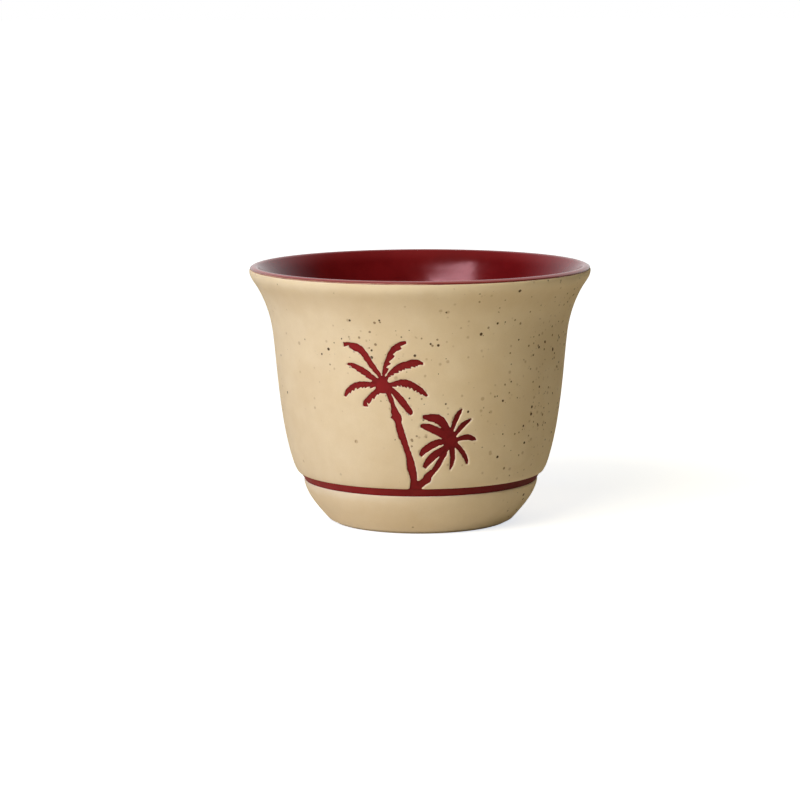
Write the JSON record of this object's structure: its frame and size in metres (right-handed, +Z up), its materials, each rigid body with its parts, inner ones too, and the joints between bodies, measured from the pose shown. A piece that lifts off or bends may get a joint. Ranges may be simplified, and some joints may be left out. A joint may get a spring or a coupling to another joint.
{
  "type": "arabic coffee cup",
  "caption": "Small handle-less stoneware coffee cup with a flared rim, a foot ring, a glossy maroon inside, a maroon band and palm inlays.",
  "frame": {"origin": "centre of the foot ring, on the plane that the cup stands on", "axes": "+Z up along the cup's axis, -Y towards the side with the palms"},
  "size_m": [0.065, 0.065, 0.049],
  "materials": {
    "stoneware": "bare fired stoneware, dry and fine-grained",
    "maroon_gloss_glaze": "glossy maroon glaze",
    "beige_matt_glaze": "matt speckled beige glaze",
    "maroon_matt_glaze": "satin maroon glaze",
    "base_glaze": "satin beige glaze"
  },
  "bodies": {
    "root": {"clay_body": "stoneware", "liner_glaze": "maroon_gloss_glaze", "upper_coat": "beige_matt_glaze", "foot_coat": "beige_matt_glaze", "band_glaze": "maroon_matt_glaze", "tall_palm_glaze": "maroon_matt_glaze", "short_palm_glaze": "maroon_matt_glaze", "base_glaze": "base_glaze"}
  },
  "joints": []
}
